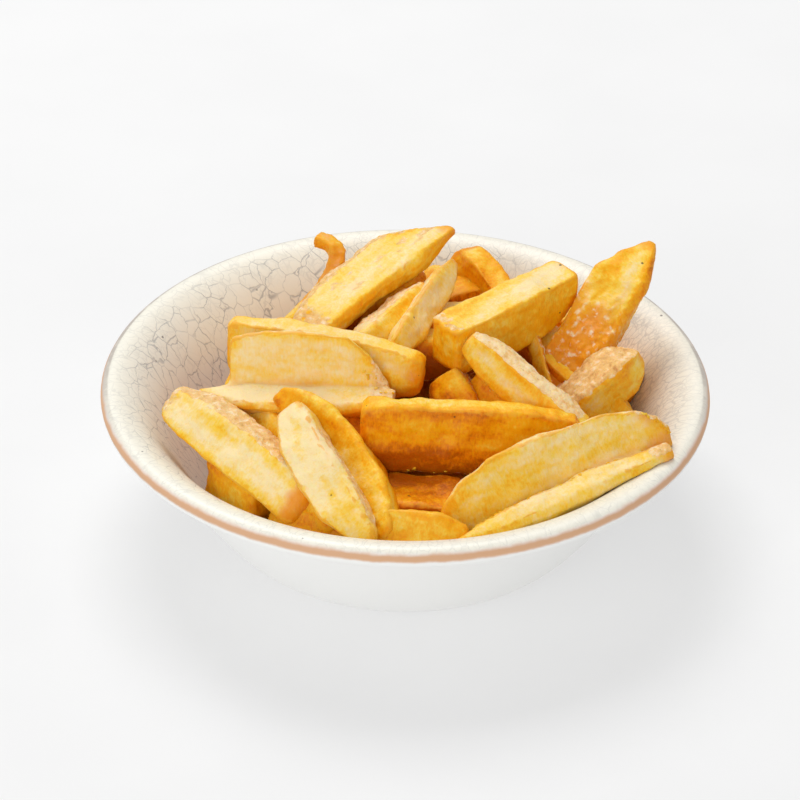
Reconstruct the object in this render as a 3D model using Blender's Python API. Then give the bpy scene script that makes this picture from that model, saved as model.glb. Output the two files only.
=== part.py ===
"""Chunky potato fries heaped in a small flared stoneware bowl.

Sizes are in millimetres and turned to metres as each mesh is made. +Z is up, the flat base of the
bowl rests on z = 0, and the bowl is turned about the Z axis. +X is right and +Y is the far side.
Two objects: the bowl, and the heap of fries as one solid out to its uneven outline.
"""

import math
from dataclasses import dataclass

import bmesh
import bpy
from mathutils import Matrix, Vector

MM = 0.001

# The bowl
RIM_RADIUS = 90.0
BOWL_HEIGHT = 48.0
BASE_RADIUS = 51.0
NECK_RADIUS = 80.0
NECK_HEIGHT = 41.0
WALL_BELLY = (58.4, 1.1)        # control point that bends the wall out of the base
WALL_THICKNESS = 4.5
RIM_ROUND = 3.0                 # radius of the lip's rounded outer edge
LIP_DROP = (80.0, 47.6)         # control point of the lip's slope into the bowl
TURN_STEPS = 60
WALL_STEPS = 6
RIM_STEPS = 6
LIP_STEPS = 4

# The heap
FIT_GAP = 0.4                   # clear space between the fries and the glaze
MOUND_GAP = 1.0                 # the mound stays this far inside the room left for the fries
HEAP_REACH = 86.5               # no fry leans out past this radius
HEAP_CEILING = 95.0
MOUND_TOP = 44.0
MOUND_STEPS = 24

# Stations along a fry, as shares of its length, and the stretch over which its ends draw in
STATIONS = (0.0, 0.05, 0.18, 0.38, 0.62, 0.82, 0.95, 1.0)
HIDDEN_STATIONS = (0.0, 0.08, 0.34, 0.66, 0.92, 1.0)
END_STRETCH = 0.3
END_BLUNTING = 0.86

# Cross-sections in half widths and half depths, taken clockwise from the top left corner
SECTIONS = {
    "stick": ((-0.75, 1.0), (0.75, 1.0), (1.0, 0.75), (1.0, -0.75),
              (0.75, -1.0), (-0.75, -1.0), (-1.0, -0.75), (-1.0, 0.75)),
    "wedge": ((-0.16, 1.0), (0.16, 1.0), (1.0, -0.42), (0.86, -0.78),
              (0.0, -1.0), (-0.86, -0.78), (-1.0, -0.42)),
    "slab": ((-0.45, 1.0), (0.45, 1.0), (0.95, -0.2), (0.85, -0.8),
             (0.0, -1.0), (-0.85, -0.8), (-0.95, -0.2)),
    "plank": ((-1.0, 0.7), (-0.85, 1.0), (0.85, 1.0), (1.0, 0.75),
              (0.9, -0.3), (0.3, -1.0), (-0.5, -0.75)),
    "scoop": ((-0.95, 0.95), (-0.45, 1.0), (-0.30, -0.40), (0.92, -0.52),
              (1.0, -0.85), (0.2, -1.0), (-0.7, -0.8), (-1.0, 0.1)),
}
SCOOP_FOLD = -0.45              # below this height a scoop's section is its shelf


@dataclass(frozen=True)
class Fry:
    """One fry, from the middle of its tail end to the middle of its tip end."""

    cut: str
    tail: tuple
    tip: tuple
    width: float
    depth: float
    roll: float = 0.0               # degrees about the length, + lifts the right-hand side
    narrow: tuple = (0.8, 0.7)      # share of the width left at the tail and at the tip
    thin: tuple = (0.8, 0.7)        # share of the depth left at the tail and at the tip
    pin: tuple = (0.0, 0.0)         # point of the section that the ends draw in to
    lean: tuple = (0.0, 0.0)        # how far the section's top runs ahead at the tail and the tip
    bow: float = 0.0                # how far the middle rises
    sway: float = 0.0               # how far the middle moves to the right


# Fries that show on top, from the far side to the near side
TOP_FRIES = (
    Fry("stick", (-33, 40, 44), (-21, 46, 61), 6, 8, sway=5),
    Fry("stick", (-21, 46, 61), (-28, 53, 66), 9, 5),
    Fry("plank", (-32, 8, 56), (10, 49, 71), 19, 11, roll=-4, narrow=(0.8, 0.2), thin=(0.8, 0.4),
        pin=(0.7, 0.5), sway=-1),
    Fry("stick", (6, 38, 48), (12, 52, 53), 9, 9),
    Fry("stick", (32, 34, 48), (18, 56, 58), 8, 9),
    Fry("stick", (10, 40, 48), (32, 52, 48), 10, 12),
    Fry("wedge", (-15, -3, 58), (5, 26, 63), 15, 10, roll=-10, narrow=(0.7, 0.5), thin=(0.7, 0.5)),
    Fry("wedge", (-4, -6, 60), (14, 37, 66), 10, 10, narrow=(0.7, 0.3), thin=(0.7, 0.3)),
    Fry("stick", (11, -7, 62), (48, 25, 64), 13, 16, narrow=(0.95, 0.9), thin=(1.0, 0.6), pin=(0, 1)),
    Fry("stick", (36, 22, 50), (52, 0, 44), 13, 12),
    Fry("stick", (38, 10, 56), (42, -4, 46), 6, 8),
    Fry("wedge", (42, -4, 34), (74, 33, 76), 20, 14, narrow=(0.9, 0.12), thin=(0.9, 0.2), sway=-1),
    Fry("wedge", (47, -10, 42), (68, 1, 55), 19, 12, narrow=(0.8, 0.5), thin=(0.8, 0.5)),
    Fry("slab", (-52, 3, 57), (4, -13, 57), 12, 20, roll=-4, narrow=(0.9, 0.8), thin=(0.9, 0.8)),
    Fry("scoop", (-60, -14, 57), (-4, -20, 62), 14, 20, roll=4, narrow=(0.3, 0.5), thin=(0.85, 0.55),
        pin=(-0.4, -0.5), lean=(5, -3)),
    Fry("wedge", (13, -8, 54), (22, -24, 42), 17, 14),
    Fry("wedge", (20, -10, 54), (38, -30, 46), 10, 10, narrow=(0.8, 0.5), thin=(0.8, 0.5)),
    Fry("wedge", (18, -9, 67), (53, -32, 47), 13, 12, narrow=(0.6, 0.7), thin=(0.6, 0.7)),
    Fry("slab", (-13, -34, 50), (50, -31, 45), 12, 24, roll=-4, narrow=(0.9, 0.8), thin=(0.9, 0.8)),
    Fry("scoop", (12, -66, 39), (75, -36, 52), 17, 22, roll=4, narrow=(0.5, 0.5), thin=(0.75, 0.6),
        pin=(-0.4, -0.5)),
    Fry("stick", (-26, -18, 48), (-8, -34, 40), 12, 12),
    Fry("wedge", (-67, -18, 50.5), (-31, -52, 43.5), 22, 15, roll=18, narrow=(0.55, 0.9),
        thin=(0.6, 0.9), bow=2),
    Fry("stick", (-52, -34, 38), (-37, -51, 35), 14, 20, narrow=(0.95, 0.9), thin=(0.95, 0.9)),
    Fry("wedge", (-36, -25, 58), (-4, -67, 37), 16, 15, narrow=(0.4, 0.5), thin=(0.4, 0.5), sway=-7),
    Fry("wedge", (-30, -37, 60), (-9, -72, 39), 16, 12, narrow=(0.75, 0.4), thin=(0.6, 0.4)),
    Fry("wedge", (-38, -55, 35), (-10, -66, 34), 14, 12, narrow=(0.5, 0.8), thin=(0.5, 0.8)),
    Fry("stick", (-10, -46, 33), (22, -50, 33), 16, 14, narrow=(0.9, 0.8), thin=(0.9, 0.8)),
    Fry("wedge", (-6, -63, 39), (18, -66, 37), 12, 12, narrow=(0.8, 0.6), thin=(0.8, 0.6)),
)

# Fries on the far side and lower in the bowl
LOWER_FRIES = (
    Fry("stick", (-24, 22, 50), (4, 42, 58), 15, 12),
    Fry("wedge", (-20, 34, 45), (20, 56, 43), 17, 14),
    Fry("stick", (26, 50, 40), (60, 30, 44), 14, 14),
    Fry("wedge", (-50, 22, 38), (-22, 48, 38), 17, 14),
    Fry("slab", (-14, 18, 50), (34, 30, 50), 14, 15),
    Fry("slab", (-28, 6, 50), (26, 12, 50), 15, 14),
    Fry("wedge", (44, 26, 46), (66, -12, 38), 17, 15),
    Fry("stick", (-50, -20, 36), (-44, 14, 38), 15, 14),
    Fry("wedge", (-10, 62, 36), (34, 56, 34), 15, 13),
    Fry("stick", (48, 44, 34), (68, 12, 36), 15, 13),
    Fry("slab", (46, -34, 30), (62, 4, 30), 15, 15),
    Fry("wedge", (-46, -14, 46), (-26, -44, 42), 16, 14),
    Fry("wedge", (-34, -40, 48), (-18, -64, 36), 15, 14),
    Fry("wedge", (24, -46, 36), (58, -44, 36), 16, 14),
)


def bezier(start, bend, end, steps):
    """Points of a quadratic curve, both ends included."""
    points = []
    for step in range(steps + 1):
        t = step / steps
        a, b, c = (1 - t) ** 2, 2 * t * (1 - t), t * t
        points.append((a * start[0] + b * bend[0] + c * end[0], a * start[1] + b * bend[1] + c * end[1]))
    return points


def outer_wall(inset):
    """The wall's outer line from base to neck, moved inwards along its normal by inset."""
    start, end = (BASE_RADIUS, 0.0), (NECK_RADIUS, NECK_HEIGHT)
    points = []
    for step, point in enumerate(bezier(start, WALL_BELLY, end, WALL_STEPS)):
        t = step / WALL_STEPS
        run = (1 - t) * (WALL_BELLY[0] - start[0]) + t * (end[0] - WALL_BELLY[0])
        rise = (1 - t) * (WALL_BELLY[1] - start[1]) + t * (end[1] - WALL_BELLY[1])
        length = math.hypot(run, rise)
        points.append((point[0] - inset * rise / length, point[1] + inset * run / length))
    return points


def rim_edge():
    """The lip's rounded outer edge, from its underside to its crest."""
    centre = (RIM_RADIUS - RIM_ROUND, BOWL_HEIGHT - RIM_ROUND)
    points = []
    for step in range(RIM_STEPS + 1):
        angle = math.pi * (step / RIM_STEPS - 0.5)
        points.append((centre[0] + RIM_ROUND * math.cos(angle), centre[1] + RIM_ROUND * math.sin(angle)))
    return points


def lip_slope(inset, lift):
    """The lip from its crest down to the inner wall, raised by lift."""
    crest = (RIM_RADIUS - RIM_ROUND, BOWL_HEIGHT)
    foot = outer_wall(inset)[-1]
    return [(r, z + lift) for r, z in bezier(crest, LIP_DROP, foot, LIP_STEPS)][:-1]


def bowl_profile():
    """Radius and height of the bowl's section, from the base's centre round to the floor's."""
    inner = outer_wall(WALL_THICKNESS)[::-1]
    floor = inner[-1][1]
    return ([(0.0, 0.0)] + outer_wall(0.0) + rim_edge() + lip_slope(WALL_THICKNESS, 0.0)[1:]
            + inner + [(0.0, floor)])


def room_profile():
    """Section of the room that the fries may fill: the bowl's inside and the air above it."""
    inset = WALL_THICKNESS + FIT_GAP
    inner = outer_wall(inset)
    floor = inner[0][1]
    slope = [point for point in lip_slope(inset, 2 * FIT_GAP)[::-1] if point[0] < HEAP_REACH]
    return ([(0.0, floor)] + inner + slope
            + [(HEAP_REACH, BOWL_HEIGHT + 2 * FIT_GAP), (HEAP_REACH, HEAP_CEILING), (0.0, HEAP_CEILING)])


def mound_profile():
    """Section of the packed middle of the heap that the lower fries lie in."""
    inner = outer_wall(WALL_THICKNESS + FIT_GAP + MOUND_GAP)
    floor = inner[0][1]
    side = [point for point in inner if point[1] < 0.75 * MOUND_TOP]
    crown = bezier(side[-1], (0.62 * side[-1][0], MOUND_TOP), (0.0, MOUND_TOP), LIP_STEPS)[1:]
    return [(0.0, floor)] + side + crown


def turned(profile, steps):
    """A closed bmesh turned about Z from a profile that starts and ends on the axis."""
    bm = bmesh.new()
    foot = bm.verts.new((0.0, 0.0, profile[0][1] * MM))
    crown = bm.verts.new((0.0, 0.0, profile[-1][1] * MM))
    rings = []
    for radius, height in profile[1:-1]:
        ring = []
        for step in range(steps):
            angle = 2 * math.pi * step / steps
            ring.append(bm.verts.new((radius * MM * math.cos(angle), radius * MM * math.sin(angle),
                                      height * MM)))
        rings.append(ring)
    for step in range(steps):
        after = (step + 1) % steps
        bm.faces.new((foot, rings[0][after], rings[0][step]))
        for low, high in zip(rings, rings[1:]):
            bm.faces.new((low[step], low[after], high[after], high[step]))
        bm.faces.new((rings[-1][step], rings[-1][after], crown))
    bmesh.ops.recalc_face_normals(bm, faces=bm.faces)
    return bm


def share_left(t, tail_share, tip_share):
    """Share of the full section at t along a fry, with both ends drawn in on a quarter wave."""
    share = END_BLUNTING if t in (0.0, 1.0) else 1.0
    if t < END_STRETCH:
        share *= tail_share + (1 - tail_share) * math.sin(0.5 * math.pi * t / END_STRETCH)
    if t > 1 - END_STRETCH:
        share *= tip_share + (1 - tip_share) * math.sin(0.5 * math.pi * (1 - t) / END_STRETCH)
    return share


def ring_points(fry, t):
    """Corners of a fry's section at t along it, in its own axes: right, along, up."""
    length = (Vector(fry.tip) - Vector(fry.tail)).length
    wide = share_left(t, *fry.narrow)
    deep = share_left(t, *fry.thin)
    bend = 4 * t * (1 - t)
    tail_pull = fry.lean[0] * max(0.0, 1 - t / END_STRETCH)
    tip_pull = fry.lean[1] * max(0.0, 1 - (1 - t) / END_STRETCH)
    points = []
    for x, z in SECTIONS[fry.cut]:
        right = (fry.pin[0] + (x - fry.pin[0]) * wide) * fry.width / 2
        up = (fry.pin[1] + (z - fry.pin[1]) * deep) * fry.depth / 2
        side = math.copysign(1.0, z - SCOOP_FOLD) if fry.cut == "scoop" else z
        along = length * t + side * (tail_pull + tip_pull)
        points.append(Vector((right + fry.sway * bend, along, up + fry.bow * bend)))
    return points


def fry_placement(fry):
    """Matrix from a fry's own axes to the bowl's, in millimetres."""
    along = (Vector(fry.tip) - Vector(fry.tail)).normalized()
    right = along.cross(Vector((0, 0, 1))).normalized()
    up = right.cross(along)
    turn = Matrix((right, along, up)).transposed().to_4x4()
    return Matrix.Translation(fry.tail) @ turn @ Matrix.Rotation(-math.radians(fry.roll), 4, "Y")


def fry_mesh(fry, stations):
    """A closed bmesh of one fry in its place."""
    bm = bmesh.new()
    rings = [[bm.verts.new(point) for point in ring_points(fry, t)] for t in stations]
    count = len(SECTIONS[fry.cut])
    for near, far in zip(rings, rings[1:]):
        for corner in range(count):
            after = (corner + 1) % count
            bm.faces.new((near[corner], near[after], far[after], far[corner]))
    bm.faces.new(rings[0][::-1])
    bm.faces.new(rings[-1])
    bmesh.ops.recalc_face_normals(bm, faces=bm.faces)
    bmesh.ops.transform(bm, matrix=Matrix.Scale(MM, 4) @ fry_placement(fry), verts=bm.verts)
    return bm


def principled(name, colour, roughness):
    """A material with one Principled BSDF."""
    material = bpy.data.materials.new(name)
    material.use_nodes = True
    shader = material.node_tree.nodes["Principled BSDF"]
    shader.inputs["Base Color"].default_value = (*colour, 1.0)
    shader.inputs["Roughness"].default_value = roughness
    shader.inputs["Metallic"].default_value = 0.0
    return material


def add_object(name, bm, material=None):
    """Link a bmesh to the scene as an object."""
    mesh = bpy.data.meshes.new(name)
    bm.to_mesh(mesh)
    bm.free()
    obj = bpy.data.objects.new(name, mesh)
    bpy.context.scene.collection.objects.link(obj)
    if material:
        mesh.materials.append(material)
    return obj


def cut_with(obj, operation, operand):
    """Apply one exact Boolean, with a single object or a collection."""
    modifier = obj.modifiers.new(operation.lower(), "BOOLEAN")
    modifier.operation = operation
    modifier.solver = "EXACT"
    if isinstance(operand, bpy.types.Collection):
        modifier.operand_type = "COLLECTION"
        modifier.collection = operand
    else:
        modifier.object = operand
    depsgraph = bpy.context.evaluated_depsgraph_get()
    mesh = bpy.data.meshes.new_from_object(obj.evaluated_get(depsgraph))
    obj.modifiers.clear()
    obj.data = mesh


def keep_outer_shell(obj):
    """Delete sealed pockets and loose slivers, so that one closed skin is left."""
    bm = bmesh.new()
    bm.from_mesh(obj.data)
    bm.verts.ensure_lookup_table()
    shells = []
    waiting = set(bm.verts)
    while waiting:
        front = [waiting.pop()]
        shell = list(front)
        while front:
            vert = front.pop()
            for edge in vert.link_edges:
                other = edge.other_vert(vert)
                if other in waiting:
                    waiting.remove(other)
                    front.append(other)
                    shell.append(other)
        shells.append(shell)
    shells.sort(key=len)
    for shell in shells[:-1]:
        bmesh.ops.delete(bm, geom=shell, context="VERTS")
    bm.to_mesh(obj.data)
    bm.free()


def build_bowl():
    """The turned bowl, with its everted lip."""
    glaze = principled("bowl_glaze", (0.86, 0.85, 0.82), 0.25)
    bowl = add_object("bowl", turned(bowl_profile(), TURN_STEPS), glaze)
    bowl.data.shade_smooth()
    bowl.data.set_sharp_from_angle(angle=math.radians(50))
    return bowl


def build_heap():
    """All the fries and the packed mound under them, joined to one solid and fitted to the bowl."""
    crust = principled("fried_potato", (0.86, 0.58, 0.17), 0.5)
    pile = bpy.data.collections.new("fries")
    bpy.context.scene.collection.children.link(pile)
    meshes = [fry_mesh(fry, STATIONS) for fry in TOP_FRIES]
    meshes += [fry_mesh(fry, HIDDEN_STATIONS) for fry in LOWER_FRIES]
    for number, mesh in enumerate(meshes):
        single = add_object(f"fry_{number:02d}", mesh)
        bpy.context.scene.collection.objects.unlink(single)
        pile.objects.link(single)
    room = add_object("room", turned(room_profile(), TURN_STEPS))
    heap = add_object("fries_heap", turned(mound_profile(), MOUND_STEPS), crust)
    cut_with(heap, "UNION", pile)
    cut_with(heap, "INTERSECT", room)
    keep_outer_shell(heap)
    for helper in list(pile.objects) + [room]:
        bpy.data.objects.remove(helper)
    bpy.data.collections.remove(pile)
    return heap


def main():
    """Clear the scene and build the bowl and its heap of fries."""
    for obj in list(bpy.data.objects):
        bpy.data.objects.remove(obj)
    build_bowl()
    build_heap()


main()
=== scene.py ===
"""Finished look of a portion of chunky potato fries in a small crackle-glazed bowl.

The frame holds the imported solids. The bowl is turned again with a finer lip and its glaze, and the
heap's one solid gives way to single fries over a smaller core. Sizes are in millimetres, and turn
to metres as each piece is made. +Z is up, +X is right and +Y is the far side.
"""

import logging
import math
import random
from dataclasses import dataclass, field
from enum import Enum

import bmesh
import bpy
import numpy as np
from mathutils import Matrix, Vector


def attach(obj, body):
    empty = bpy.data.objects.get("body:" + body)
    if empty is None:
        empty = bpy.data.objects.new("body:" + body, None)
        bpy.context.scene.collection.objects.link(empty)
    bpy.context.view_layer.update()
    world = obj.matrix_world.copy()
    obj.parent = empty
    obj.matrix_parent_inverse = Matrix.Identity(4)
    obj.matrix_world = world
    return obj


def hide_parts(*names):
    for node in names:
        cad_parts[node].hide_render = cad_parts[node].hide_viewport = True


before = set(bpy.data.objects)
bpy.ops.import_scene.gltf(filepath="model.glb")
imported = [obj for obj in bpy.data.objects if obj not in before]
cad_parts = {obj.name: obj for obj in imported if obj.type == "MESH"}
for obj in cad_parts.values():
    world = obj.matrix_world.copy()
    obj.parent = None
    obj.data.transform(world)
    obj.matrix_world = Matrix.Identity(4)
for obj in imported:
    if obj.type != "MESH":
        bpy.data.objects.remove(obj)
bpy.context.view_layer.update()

log = logging.getLogger("fries")

MM = 0.001
BODY = "root"

Socket = bpy.types.NodeSocket
Feed = Socket | float | tuple       # what a socket can be given


# ---------------------------------------------------------------- modelling helpers


def only(obj: bpy.types.Object) -> None:
    """Select one object and make it active.

    Args:
        obj: the object.
    """
    bpy.ops.object.select_all(action="DESELECT")
    obj.select_set(True)
    bpy.context.view_layer.objects.active = obj


def newest(name: str) -> bpy.types.Object:
    """Name the object that was just made, and select it alone.

    Args:
        name: its name and its mesh's.

    Returns:
        The object.
    """
    obj = bpy.context.active_object
    obj.name = name
    obj.data.name = name
    only(obj)
    return obj


def apply_modifier(obj: bpy.types.Object, kind: str, **settings: object) -> None:
    """Add a modifier, set it and apply it.

    Args:
        obj: the piece that it works on.
        kind: the modifier's type, such as REMESH.
        settings: the modifier's properties.
    """
    modifier = obj.modifiers.new(kind.lower(), kind)
    for key, value in settings.items():
        setattr(modifier, key, value)
    only(obj)
    bpy.ops.object.modifier_apply(modifier=modifier.name)


def roughen(obj: bpy.types.Object, texture: bpy.types.Texture, height: float, group: str = "") -> None:
    """Move a piece's surface in and out by a noise.

    Args:
        obj: the piece.
        texture: the noise.
        height: from the deepest dent to the highest bump, in millimetres.
        group: the vertex group that it keeps to, or none for the whole piece.
    """
    apply_modifier(obj, "DISPLACE", texture=texture, texture_coords="GLOBAL", mid_level=0.5,
                   strength=height * MM, vertex_group=group)


def settle(obj: bpy.types.Object) -> None:
    """Put an object's place into its mesh, and turn its faces outwards.

    Args:
        obj: the object, which ends at the origin.
    """
    only(obj)
    bpy.ops.object.transform_apply(location=True, rotation=True, scale=True)
    bpy.ops.object.mode_set(mode="EDIT")
    bpy.ops.mesh.select_all(action="SELECT")
    bpy.ops.mesh.normals_make_consistent(inside=False)
    bpy.ops.object.mode_set(mode="OBJECT")


def dress(obj: bpy.types.Object, material: bpy.types.Material) -> None:
    """Give a piece its one material, and shade it smooth.

    Args:
        obj: the piece.
        material: its finish.
    """
    obj.data.materials.clear()
    obj.data.materials.append(material)
    only(obj)
    bpy.ops.object.shade_smooth()


def turned(name: str, profile: list[tuple], segments: int) -> bpy.types.Object:
    """Draw a round piece up from a disc by extruding its face ring by ring.

    Args:
        name: the piece's name.
        profile: radius and height of each ring, in millimetres, the disc's first.
        segments: the number of sides round it.

    Returns:
        The closed piece.
    """
    bpy.ops.object.select_all(action="DESELECT")
    radius, height = profile[0]
    bpy.ops.mesh.primitive_circle_add(vertices=segments, radius=radius * MM, fill_type="NGON",
                                      location=(0.0, 0.0, height * MM))
    piece = newest(name)
    bpy.ops.object.mode_set(mode="EDIT")
    bpy.ops.mesh.select_all(action="SELECT")
    for (near, low), (far, high) in zip(profile, profile[1:]):
        share = far / near
        bpy.ops.mesh.extrude_region_move(TRANSFORM_OT_translate={"value": (0.0, 0.0, (high - low) * MM)})
        bpy.ops.transform.resize(value=(share, share, 1.0), center_override=(0.0, 0.0, high * MM))
    bpy.ops.object.mode_set(mode="OBJECT")
    settle(piece)
    return piece


def mesh_arrays(mesh: bpy.types.Mesh) -> tuple[np.ndarray, np.ndarray, np.ndarray]:
    """Read a mesh as arrays.

    Args:
        mesh: the mesh to read.

    Returns:
        Points and vertex normals, one row each, and the edges' vertex pairs.
    """
    count = len(mesh.vertices)
    points = np.empty(count * 3)
    mesh.vertices.foreach_get("co", points)
    normals = np.empty(count * 3)
    mesh.vertices.foreach_get("normal", normals)
    pairs = np.empty(len(mesh.edges) * 2, dtype=np.int64)
    mesh.edges.foreach_get("vertices", pairs)
    return points.reshape(-1, 3), normals.reshape(-1, 3), pairs.reshape(-1, 2)


def smoothstep(values: np.ndarray, low: float, high: float) -> np.ndarray:
    """Ease from 0 at low to 1 at high."""
    share = np.clip((values - low) / (high - low), 0.0, 1.0)
    return share * share * (3.0 - 2.0 * share)


def diffuse(values: np.ndarray, pairs: np.ndarray, rounds: int) -> np.ndarray:
    """Spread a value over a mesh by averaging each point with its neighbours.

    Args:
        values: one for each vertex.
        pairs: the edges' vertex pairs.
        rounds: how many times.

    Returns:
        The smoothed values.
    """
    first, second = pairs[:, 0], pairs[:, 1]
    count = np.maximum(np.bincount(pairs.ravel(), minlength=len(values)), 1)
    for _ in range(rounds):
        total = (np.bincount(first, values[second], len(values))
                 + np.bincount(second, values[first], len(values)))
        values = 0.5 * values + 0.5 * total / count
    return values


def bezier(start: tuple, bend: tuple, end: tuple, steps: int) -> list[tuple]:
    """Points of a quadratic curve in any number of dimensions.

    Args:
        start: where it starts.
        bend: the point that it bends towards.
        end: where it ends.
        steps: the number of stretches.

    Returns:
        The points, both ends included.
    """
    points = []
    for step in range(steps + 1):
        t = step / steps
        shares = ((1 - t) ** 2, 2 * t * (1 - t), t * t)
        points.append(tuple(sum(share * part for share, part in zip(shares, parts))
                            for parts in zip(start, bend, end)))
    return points


def set_attribute(mesh: bpy.types.Mesh, name: str, kind: str, values: np.ndarray) -> None:
    """Store one value or vector for each vertex.

    Args:
        mesh: the mesh that keeps it.
        name: the attribute's name, as the material reads it.
        kind: FLOAT or FLOAT_VECTOR.
        values: one row for each vertex.
    """
    layer = mesh.attributes.new(name, kind, "POINT")
    layer.data.foreach_set("vector" if kind == "FLOAT_VECTOR" else "value", values.ravel())


# ---------------------------------------------------------------- finishes


class Sketch:
    """A material's node tree, with short calls for the nodes that the finishes share."""

    def __init__(self, name: str) -> None:
        """Start a material that has one Principled shader.

        Args:
            name: the material's name.
        """
        self.material = bpy.data.materials.new(name)
        self.material.use_nodes = True
        self.tree = self.material.node_tree
        self.shader = self.tree.nodes["Principled BSDF"]

    def finish(self, inputs: dict) -> bpy.types.Material:
        """Feed the shader.

        Args:
            inputs: a number, a colour or a socket for each of its sockets, by name.

        Returns:
            The finished material.
        """
        for key, value in inputs.items():
            self.feed(self.shader.inputs[key], value)
        return self.material

    def feed(self, socket: Socket, value: Feed) -> None:
        """Link a socket to another one, or set its number or colour.

        Args:
            socket: the input.
            value: what it gets.
        """
        if isinstance(value, Socket):
            self.tree.links.new(value, socket)
        elif isinstance(value, tuple) and len(value) == 3 and socket.type == "RGBA":
            socket.default_value = (*value, 1.0)
        else:
            socket.default_value = value

    def add(self, kind: str, inputs: dict | None = None, **settings: object) -> bpy.types.Node:
        """Add a node.

        Args:
            kind: the node's type without its ShaderNode prefix.
            inputs: sockets by name or index, each with a number, a colour or a socket to link.
            settings: the node's own properties.

        Returns:
            The new node.
        """
        node = self.tree.nodes.new("ShaderNode" + kind)
        for key, value in settings.items():
            setattr(node, key, value)
        for key, value in (inputs or {}).items():
            self.feed(node.inputs[key], value)
        return node

    def attribute(self, name: str, vector: bool = False) -> Socket:
        """Read one of the mesh's own attributes."""
        node = self.add("Attribute", attribute_name=name)
        return node.outputs["Vector" if vector else "Fac"]

    def math(self, operation: str, first: Feed, second: Feed = 0.0) -> Socket:
        """Work out one number from one or two."""
        return self.add("Math", {0: first, 1: second}, operation=operation).outputs[0]

    def plus(self, first: Feed, second: Feed) -> Socket:
        """The sum of two numbers."""
        return self.math("ADD", first, second)

    def less(self, first: Feed, second: Feed) -> Socket:
        """The first number less the second."""
        return self.math("SUBTRACT", first, second)

    def times(self, first: Feed, second: Feed) -> Socket:
        """The product of two numbers."""
        return self.math("MULTIPLY", first, second)

    def most(self, first: Feed, second: Feed) -> Socket:
        """The greater of two numbers."""
        return self.math("MAXIMUM", first, second)

    def stray(self, noise: Socket, weight: float) -> Socket:
        """How far a noise from 0 to 1 strays from its middle, made this strong."""
        return self.times(self.less(noise, 0.5), weight)

    def scaled(self, vector: Feed, by: tuple) -> Socket:
        """Multiply a vector by three numbers."""
        return self.add("VectorMath", {0: vector, 1: by}, operation="MULTIPLY").outputs[0]

    def noise(self, vector: Feed, size: float, detail: float = 3.0, rough: float = 0.55) -> Socket:
        """Cloudy noise whose lumps are about this large, in the vector's own units."""
        inputs = {"Vector": vector, "Scale": 1.0 / size, "Detail": detail, "Roughness": rough}
        return self.add("TexNoise", inputs).outputs["Fac"]

    def cells(self, vector: Feed, size: float, feature: str = "F1") -> bpy.types.Node:
        """Voronoi cells about this large."""
        return self.add("TexVoronoi", {"Vector": vector, "Scale": 1.0 / size}, feature=feature)

    def dots(self, vector: Feed, spacing: float, rarity: float) -> tuple[Socket, Socket, Socket]:
        """Points strewn about this far apart, of which a share is picked.

        Args:
            vector: where the spot lies.
            spacing: between the points, in the vector's own units.
            rarity: share of the points that aren't picked.

        Returns:
            The distance to the nearest point in spacings, 1 where that point is picked, and a
            number of its own from 0 to 1.
        """
        spots = self.cells(vector, spacing)
        chance = self.add("SeparateColor", {0: spots.outputs["Color"]}).outputs
        return spots.outputs["Distance"], self.math("GREATER_THAN", chance[0], rarity), chance[1]

    def span(self, value: Feed, low: float, high: float, start: float = 0.0, end: float = 1.0) -> Socket:
        """Map the stretch from low to high onto start to end, eased at both ends."""
        inputs = {"Value": value, "From Min": low, "From Max": high, "To Min": start, "To Max": end}
        return self.add("MapRange", inputs, interpolation_type="SMOOTHSTEP").outputs["Result"]

    def blend(self, share: Feed, first: Feed, second: Feed) -> Socket:
        """Mix two colours.

        Args:
            share: how much of the second there is, 0 to 1.
            first: a colour.
            second: a colour.

        Returns:
            The mixed colour.
        """
        node = self.add("Mix", data_type="RGBA")
        for socket, value in zip((node.inputs[0], node.inputs[6], node.inputs[7]), (share, first, second)):
            self.feed(socket, value)
        return node.outputs[2]

    def bump(self, height: Feed, depth: float, strength: float, below: Socket | None = None) -> Socket:
        """Relief in the shading.

        Args:
            height: a socket from 0 to 1.
            depth: what 1 stands for, in millimetres.
            strength: from 0 to 1.
            below: the normal of the coarser relief that this one lies on.

        Returns:
            The normal.
        """
        inputs = {"Height": height, "Distance": depth * MM, "Strength": strength}
        if below is not None:
            inputs["Normal"] = below
        return self.add("Bump", inputs).outputs["Normal"]


# What a fry's maker stores at each point for the crust, each from 0 to about 1. Three of them paint light and
# shade: the lamp side paler, and the heap's depths and the inward folds darker
MARKS = ("edge", "near_edge", "fold_shade", "sunk", "skin", "boil", "dry", "bark", "end", "tone")


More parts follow.
